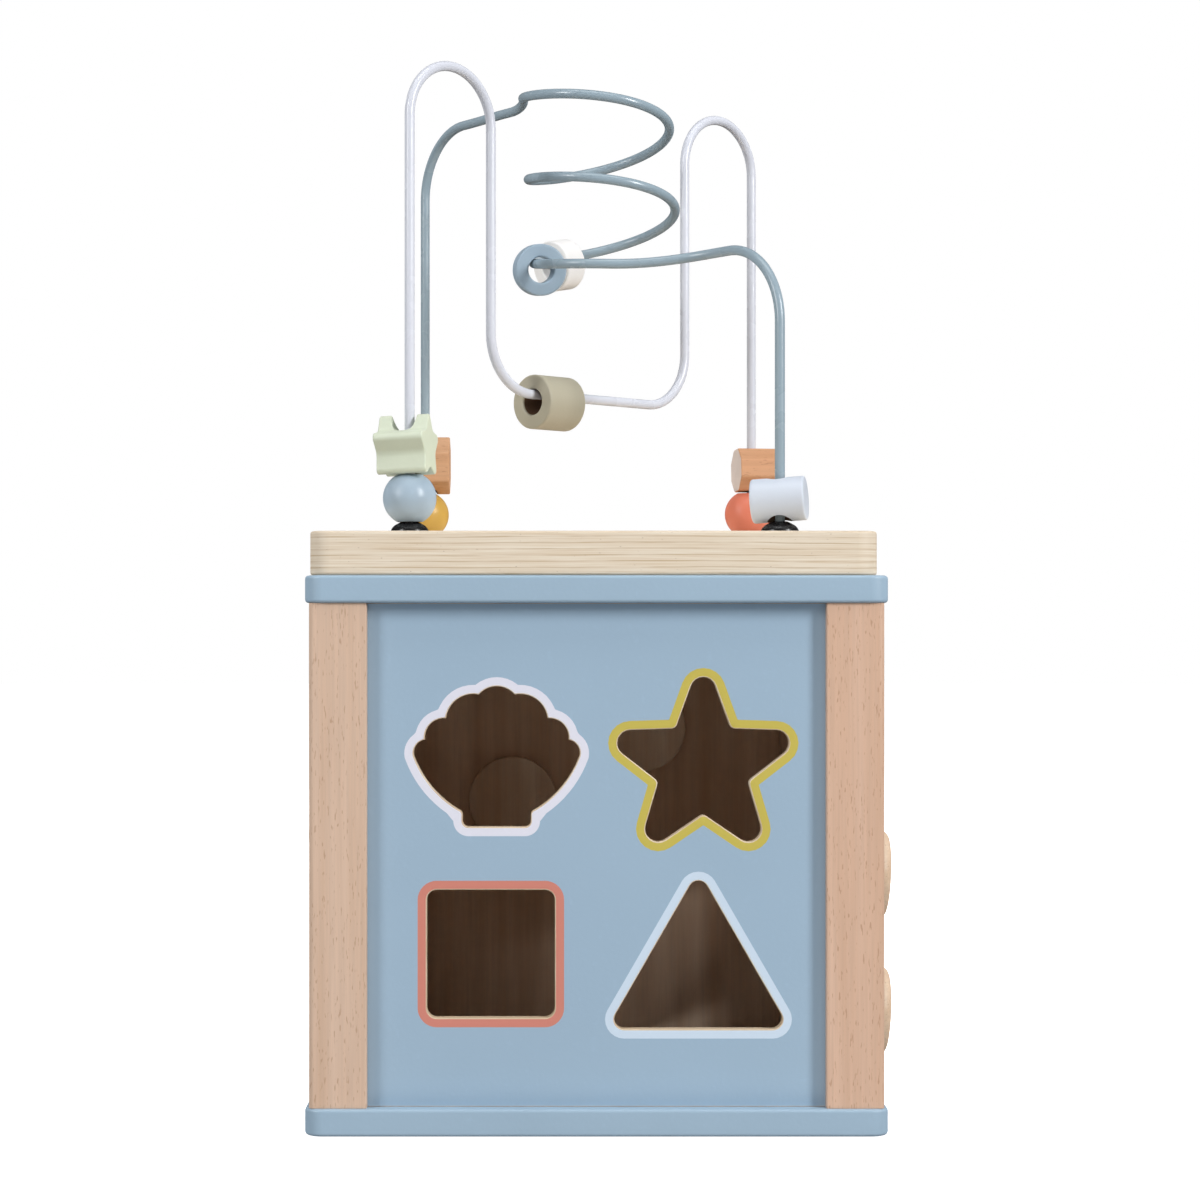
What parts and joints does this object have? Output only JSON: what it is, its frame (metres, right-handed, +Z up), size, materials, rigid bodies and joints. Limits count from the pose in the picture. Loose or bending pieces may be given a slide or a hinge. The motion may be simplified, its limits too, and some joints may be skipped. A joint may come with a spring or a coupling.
{
  "type": "wooden activity cube with shape sorter and bead maze",
  "caption": "Wooden activity box with shape-sorting holes, gears, sliding knobs and clock hands on its sides, and a lift-off lid carrying a wire bead maze.",
  "frame": {"origin": "centre of the base plate's underside, which the box stands on", "axes": "+Z up through the lid and the bead maze; -Y is the side with the four shape holes; +X is the side with the two sliding knobs"},
  "size_m": [0.2052, 0.1977, 0.36],
  "materials": {
    "box_paint": "satin paint on board",
    "bead_blue": "satin paint on turned wood",
    "bead_mint": "satin paint on wood",
    "bead_yellow": "satin paint on wood",
    "bead_coral": "satin paint on wood",
    "bead_khaki": "satin paint on turned wood",
    "bead_white": "satin paint on turned wood",
    "block_ice": "satin paint on wood",
    "beech": "clear satin varnish on beech",
    "plywood": "clear satin varnish on plywood",
    "black_plastic": "moulded gloss",
    "zinc_steel": "zinc plated",
    "wire_white": "smooth powder coat",
    "wire_blue": "smooth powder coat"
  },
  "bodies": {
    "box": {"base_plate": "box_paint", "top_frame_plate": "box_paint", "front_panel": "box_paint", "right_panel": "box_paint", "back_panel": "box_paint", "left_panel": "box_paint", "post_front_left": "beech", "post_front_right": "beech", "post_back_left": "beech", "post_back_right": "beech", "base_screw_front_left": "zinc_steel", "base_screw_front_right": "zinc_steel", "base_screw_back_left": "zinc_steel", "base_screw_back_right": "zinc_steel", "frame_screw_front_left": "zinc_steel", "frame_screw_front_right": "zinc_steel", "frame_screw_back_left": "zinc_steel", "frame_screw_back_right": "zinc_steel", "gear_peg_left": "beech", "gear_disc_left": "beech", "gear_peg_right": "beech", "gear_disc_right": "beech", "clock_peg": "beech", "clock_disc": "beech"},
    "lid": {"lid_board": "plywood", "lid_locating_board": "plywood", "white_wire": "wire_white", "blue_wire": "wire_blue", "wire_foot_front_left": "black_plastic", "wire_foot_front_right": "black_plastic", "wire_foot_back_left": "black_plastic", "wire_foot_back_right": "black_plastic", "wire_nut_front_left": "zinc_steel", "wire_nut_front_right": "zinc_steel", "wire_nut_back_left": "zinc_steel", "wire_nut_back_right": "zinc_steel"},
    "ball_front_left": {"ball_bead_front_left": "bead_blue"},
    "star_front_left": {"star_bead_front_left": "bead_mint"},
    "ball_back_left": {"ball_bead_back_left": "bead_yellow"},
    "hexagon_back_left": {"hexagon_bead_back_left": "beech"},
    "ball_back_right": {"ball_bead_back_right": "bead_coral"},
    "oval_back_right": {"oval_bead_back_right": "beech"},
    "drum_front_right": {"drum_bead_front_right": "bead_white"},
    "tube_u": {"tube_bead_u": "bead_khaki"},
    "ring_coil": {"ring_bead_coil": "bead_blue"},
    "white_coil": {"white_bead_coil": "bead_white"},
    "slider_upper": {"slider_knob_upper": "beech", "slider_retainer_upper": "beech"},
    "slider_lower": {"slider_knob_lower": "beech", "slider_retainer_lower": "beech"},
    "gear_left": {"gear_left": "bead_yellow"},
    "gear_right": {"gear_right": "bead_mint"},
    "clock_hour": {"clock_hour_hand": "bead_coral"},
    "clock_minute": {"clock_minute_hand": "bead_mint"},
    "shell_block": {"block_shell": "bead_white"},
    "star_block": {"block_star": "bead_yellow"},
    "square_block": {"block_square": "bead_coral"},
    "triangle_block": {"block_triangle": "block_ice"}
  },
  "joints": [
    {"name": "lid_lift", "type": "slide", "parent": "box", "child": "lid", "axis": [0, 0, 1], "range_m": [0, 0.12]},
    {"name": "ball_front_left_lift", "type": "slide", "parent": "lid", "child": "ball_front_left", "axis": [0, 0, 1], "range_m": [0, 0.05]},
    {"name": "star_front_left_lift", "type": "slide", "parent": "ball_front_left", "child": "star_front_left", "axis": [0, 0, 1], "range_m": [0, 0.05]},
    {"name": "ball_back_left_lift", "type": "slide", "parent": "lid", "child": "ball_back_left", "axis": [0, 0, 1], "range_m": [0, 0.045]},
    {"name": "hexagon_back_left_lift", "type": "slide", "parent": "ball_back_left", "child": "hexagon_back_left", "axis": [0, 0, 1], "range_m": [0, 0.045]},
    {"name": "ball_back_right_lift", "type": "slide", "parent": "lid", "child": "ball_back_right", "axis": [0, 0, 1], "range_m": [0, 0.05]},
    {"name": "oval_back_right_lift", "type": "slide", "parent": "ball_back_right", "child": "oval_back_right", "axis": [0, 0, 1], "range_m": [0, 0.05]},
    {"name": "drum_front_right_lift", "type": "slide", "parent": "lid", "child": "drum_front_right", "axis": [0, 0, 1], "range_m": [0, 0.05]},
    {"name": "tube_u_slide", "type": "slide", "parent": "lid", "child": "tube_u", "axis": [0.7071, 0.7071, 0], "range_m": [0, 0.042]},
    {"name": "ring_coil_turn", "type": "hinge", "parent": "lid", "child": "ring_coil", "pos_m": [0.01, -0.00359, 0.30112], "axis": [0.0666, -0.058, 0.9961], "range_deg": [0, 50]},
    {"name": "white_coil_turn", "type": "hinge", "parent": "lid", "child": "white_coil", "pos_m": [0.00245, -0.00745, 0.31049], "axis": [-0.3183, 0.0269, 0.9476], "range_deg": [-60, 0]},
    {"name": "slider_upper_slide", "type": "slide", "parent": "box", "child": "slider_upper", "axis": [0, 1, 0], "range_m": [-0.02, 0.08]},
    {"name": "slider_lower_slide", "type": "slide", "parent": "box", "child": "slider_lower", "axis": [0, 1, 0], "range_m": [-0.02, 0.08]},
    {"name": "gear_left_spin", "type": "hinge", "parent": "box", "child": "gear_left", "pos_m": [0.0211, 0.09, 0.1277], "axis": [0, 1, 0], "continuous": true},
    {"name": "gear_right_spin", "type": "hinge", "parent": "box", "child": "gear_right", "pos_m": [-0.0291, 0.09, 0.0991], "axis": [0, 1, 0], "continuous": true},
    {"name": "clock_hour_turn", "type": "hinge", "parent": "box", "child": "clock_hour", "pos_m": [-0.09, 0, 0.092], "axis": [-1, 0, 0], "continuous": true},
    {"name": "clock_minute_turn", "type": "hinge", "parent": "box", "child": "clock_minute", "pos_m": [-0.09, 0, 0.092], "axis": [-1, 0, 0], "continuous": true},
    {"name": "shell_block_lift", "type": "slide", "parent": "box", "child": "shell_block", "axis": [0, 0, 1], "range_m": [0, 0.12]},
    {"name": "star_block_lift", "type": "slide", "parent": "box", "child": "star_block", "axis": [0, 0, 1], "range_m": [0, 0.12]},
    {"name": "square_block_lift", "type": "slide", "parent": "box", "child": "square_block", "axis": [0, 0, 1], "range_m": [0, 0.12]},
    {"name": "triangle_block_lift", "type": "slide", "parent": "box", "child": "triangle_block", "axis": [0, 0, 1], "range_m": [0, 0.12]}
  ],
  "couplings": [
    {"joint": "gear_right_spin", "follows": "gear_left_spin", "ratio": -1}
  ]
}
